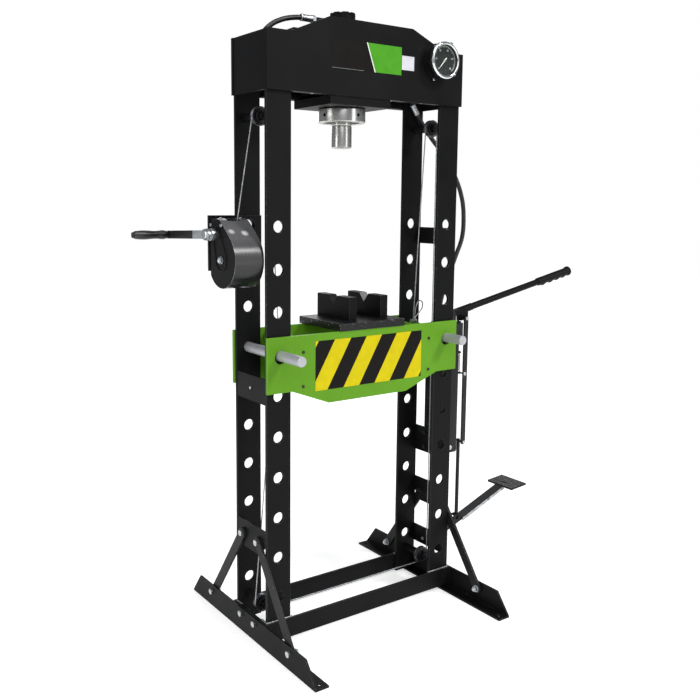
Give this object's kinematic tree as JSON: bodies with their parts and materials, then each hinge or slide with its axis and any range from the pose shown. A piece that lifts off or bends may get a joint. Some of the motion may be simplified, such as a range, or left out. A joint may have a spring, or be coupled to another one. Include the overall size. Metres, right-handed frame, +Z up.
{
  "type": "hydraulic shop press",
  "caption": "Floor-standing hydraulic shop press: pinned bed lifted by a hand winch, sideways-sliding cylinder, pressure gauge, and a pump worked by hand lever or foot pedal.",
  "frame": {"origin": "on the floor, under the middle of the overall box", "axes": "+Z up, -Y towards the front where the operator stands, +X towards the pump lever"},
  "size_m": [1.59, 0.73, 1.842],
  "materials": {
    "black_paint": "satin black powder coat",
    "green_paint": "satin green powder coat",
    "zinc": "zinc plated",
    "bright_steel": "turned and ground",
    "dark_steel": "blackened",
    "rope_steel": "galvanised wire rope",
    "chrome": "polished",
    "clear_glass": "clear",
    "white_paint": "matt",
    "rubber": "matt",
    "black_plastic": "satin"
  },
  "bodies": {
    "frame": {"front_left_post": "black_paint", "front_right_post": "black_paint", "back_left_post": "black_paint", "back_right_post": "black_paint", "head_box": "black_paint", "base_frame": "black_paint", "left_foot": "black_paint", "right_foot": "black_paint", "front_left_brace": "black_paint", "front_right_brace": "black_paint", "back_left_brace": "black_paint", "back_right_brace": "black_paint", "left_brace_bracket": "black_paint", "right_brace_bracket": "black_paint", "pump_plate": "black_paint", "pedal_bracket": "black_paint", "winch_mount_plate": "black_paint", "winch_cover": "black_paint", "gauge_case": "black_paint", "pump_tank": "black_paint", "return_spring": "zinc", "winch_frame": "dark_steel", "pump_block": "dark_steel", "hose_manifold": "dark_steel", "winch_cable": "rope_steel", "levelling_cable": "rope_steel", "gauge_bezel": "chrome", "gauge_glass": "clear_glass", "cylinder_hose": "rubber", "pump_hose": "rubber"},
    "carriage": {"cylinder_mount_plate": "black_paint", "cylinder_barrel": "black_paint", "cylinder_ring_nut": "bright_steel", "cylinder_top_nut": "black_paint", "ram_return_spring": "dark_steel"},
    "ram": {"ram": "bright_steel"},
    "bed": {"bed_front_plate": "green_paint", "bed_back_plate": "green_paint", "bed_left_spacer": "green_paint", "bed_right_spacer": "green_paint"},
    "left_pin": {"left_pin": "zinc"},
    "right_pin": {"right_pin": "zinc"},
    "press_plate": {"press_plate": "black_paint"},
    "left_v_block": {"left_v_block": "black_paint"},
    "right_v_block": {"right_v_block": "black_paint"},
    "winch_drum": {"winch_drum": "dark_steel"},
    "crank": {"crank_shaft": "zinc", "crank_arm": "zinc"},
    "crank_grip": {"crank_grip": "black_plastic"},
    "top_left_pulley": {"top_left_pulley": "zinc"},
    "top_right_pulley": {"top_right_pulley": "zinc"},
    "low_left_pulley": {"low_left_pulley": "zinc"},
    "low_right_pulley": {"low_right_pulley": "zinc"},
    "hand_lever": {"hand_lever": "black_paint", "lever_grip": "rubber"},
    "pump_plunger": {"pump_plunger": "bright_steel"},
    "pedal_link": {"pedal_link": "zinc"},
    "foot_pedal": {"foot_pedal": "black_paint"},
    "release_knob": {"release_knob": "black_plastic"},
    "gauge_needle": {"gauge_needle": "white_paint"}
  },
  "joints": [
    {"name": "carriage_slide", "type": "slide", "parent": "frame", "child": "carriage", "axis": [1, 0, 0], "range_m": [-0.085, 0.155], "deforming": ["cylinder_hose"]},
    {"name": "ram_slide", "type": "slide", "parent": "carriage", "child": "ram", "axis": [0, 0, -1], "range_m": [0, 0.15], "stiffness_N_per_m": 800, "springref_m": -0.15, "deforming": ["ram_return_spring"]},
    {"name": "bed_slide", "type": "slide", "parent": "frame", "child": "bed", "axis": [0, 0, 1], "range_m": [0, 0.009]},
    {"name": "left_pin_slide", "type": "slide", "parent": "frame", "child": "left_pin", "axis": [0, -1, 0], "range_m": [0, 0.225]},
    {"name": "right_pin_slide", "type": "slide", "parent": "frame", "child": "right_pin", "axis": [0, -1, 0], "range_m": [0, 0.255]},
    {"name": "press_plate_slide", "type": "slide", "parent": "bed", "child": "press_plate", "axis": [1, 0, 0], "range_m": [-0.12, 0.1]},
    {"name": "left_v_block_slide", "type": "slide", "parent": "press_plate", "child": "left_v_block", "axis": [1, 0, 0], "range_m": [-0.058, 0.042]},
    {"name": "right_v_block_slide", "type": "slide", "parent": "press_plate", "child": "right_v_block", "axis": [1, 0, 0], "range_m": [-0.03, 0.03]},
    {"name": "winch_drum_spin", "type": "hinge", "parent": "frame", "child": "winch_drum", "pos_m": [-0.60836, 0, 1.13], "axis": [1, 0, 0], "range_deg": [-23.2, 0]},
    {"name": "crank_spin", "type": "hinge", "parent": "frame", "child": "crank", "pos_m": [-0.67836, 0.02798, 1.20066], "axis": [1, 0, 0], "range_deg": [0, 86.8]},
    {"name": "crank_grip_spin", "type": "hinge", "parent": "crank", "child": "crank_grip", "pos_m": [-0.73836, 0.28982, 1.19152], "axis": [1, 0, 0], "continuous": true},
    {"name": "top_left_pulley_spin", "type": "hinge", "parent": "frame", "child": "top_left_pulley", "pos_m": [-0.52836, 0, 1.53], "axis": [0, 1, 0], "range_deg": [-21.8, 0]},
    {"name": "top_right_pulley_spin", "type": "hinge", "parent": "frame", "child": "top_right_pulley", "pos_m": [0.11164, 0, 1.53], "axis": [0, 1, 0], "range_deg": [0, 21.8]},
    {"name": "low_left_pulley_spin", "type": "hinge", "parent": "frame", "child": "low_left_pulley", "pos_m": [-0.52536, 0, 0.092], "axis": [0, 1, 0], "range_deg": [0, 21.8]},
    {"name": "low_right_pulley_spin", "type": "hinge", "parent": "frame", "child": "low_right_pulley", "pos_m": [0.10864, 0, 0.092], "axis": [0, 1, 0], "range_deg": [0, 21.8]},
    {"name": "lever_pivot", "type": "hinge", "parent": "frame", "child": "hand_lever", "pos_m": [0.19664, -0.015, 0.9201], "axis": [0, 1, 0], "range_deg": [0, 20], "stiffness_Nm_per_rad": 12, "springref_deg": -45.84},
    {"name": "plunger_slide", "type": "slide", "parent": "frame", "child": "pump_plunger", "axis": [0, 0, -1], "range_m": [0, 0.0095]},
    {"name": "pedal_link_slide", "type": "slide", "parent": "frame", "child": "pedal_link", "axis": [0, 0, -1], "range_m": [0, 0.0192], "deforming": ["return_spring"]},
    {"name": "pedal_pivot", "type": "hinge", "parent": "frame", "child": "foot_pedal", "pos_m": [0.17664, -0.015, 0.158], "axis": [0, 1, 0], "range_deg": [0, 13.4]},
    {"name": "release_knob_turn", "type": "hinge", "parent": "frame", "child": "release_knob", "pos_m": [0.21164, 0.0403, 0.86665], "axis": [0, 1, 0], "range_deg": [0, 270]},
    {"name": "gauge_needle_turn", "type": "hinge", "parent": "frame", "child": "gauge_needle", "pos_m": [0.03964, -0.1311, 1.72], "axis": [0, 1, 0], "range_deg": [0, 270], "stiffness_Nm_per_rad": 0.002, "springref_deg": -11.46}
  ],
  "couplings": [
    {"joint": "winch_drum_spin", "follows": "bed_slide", "rad_per_m": -44.843},
    {"joint": "crank_spin", "follows": "bed_slide", "rad_per_m": 168.16},
    {"joint": "top_left_pulley_spin", "follows": "bed_slide", "rad_per_m": -42.017},
    {"joint": "top_right_pulley_spin", "follows": "bed_slide", "rad_per_m": 42.017},
    {"joint": "low_left_pulley_spin", "follows": "bed_slide", "rad_per_m": 42.017},
    {"joint": "low_right_pulley_spin", "follows": "bed_slide", "rad_per_m": 42.017},
    {"joint": "plunger_slide", "follows": "lever_pivot", "m_per_rad": 0.0265},
    {"joint": "pedal_link_slide", "follows": "lever_pivot", "m_per_rad": 0.05443},
    {"joint": "pedal_pivot", "follows": "lever_pivot", "ratio": 0.66}
  ]
}
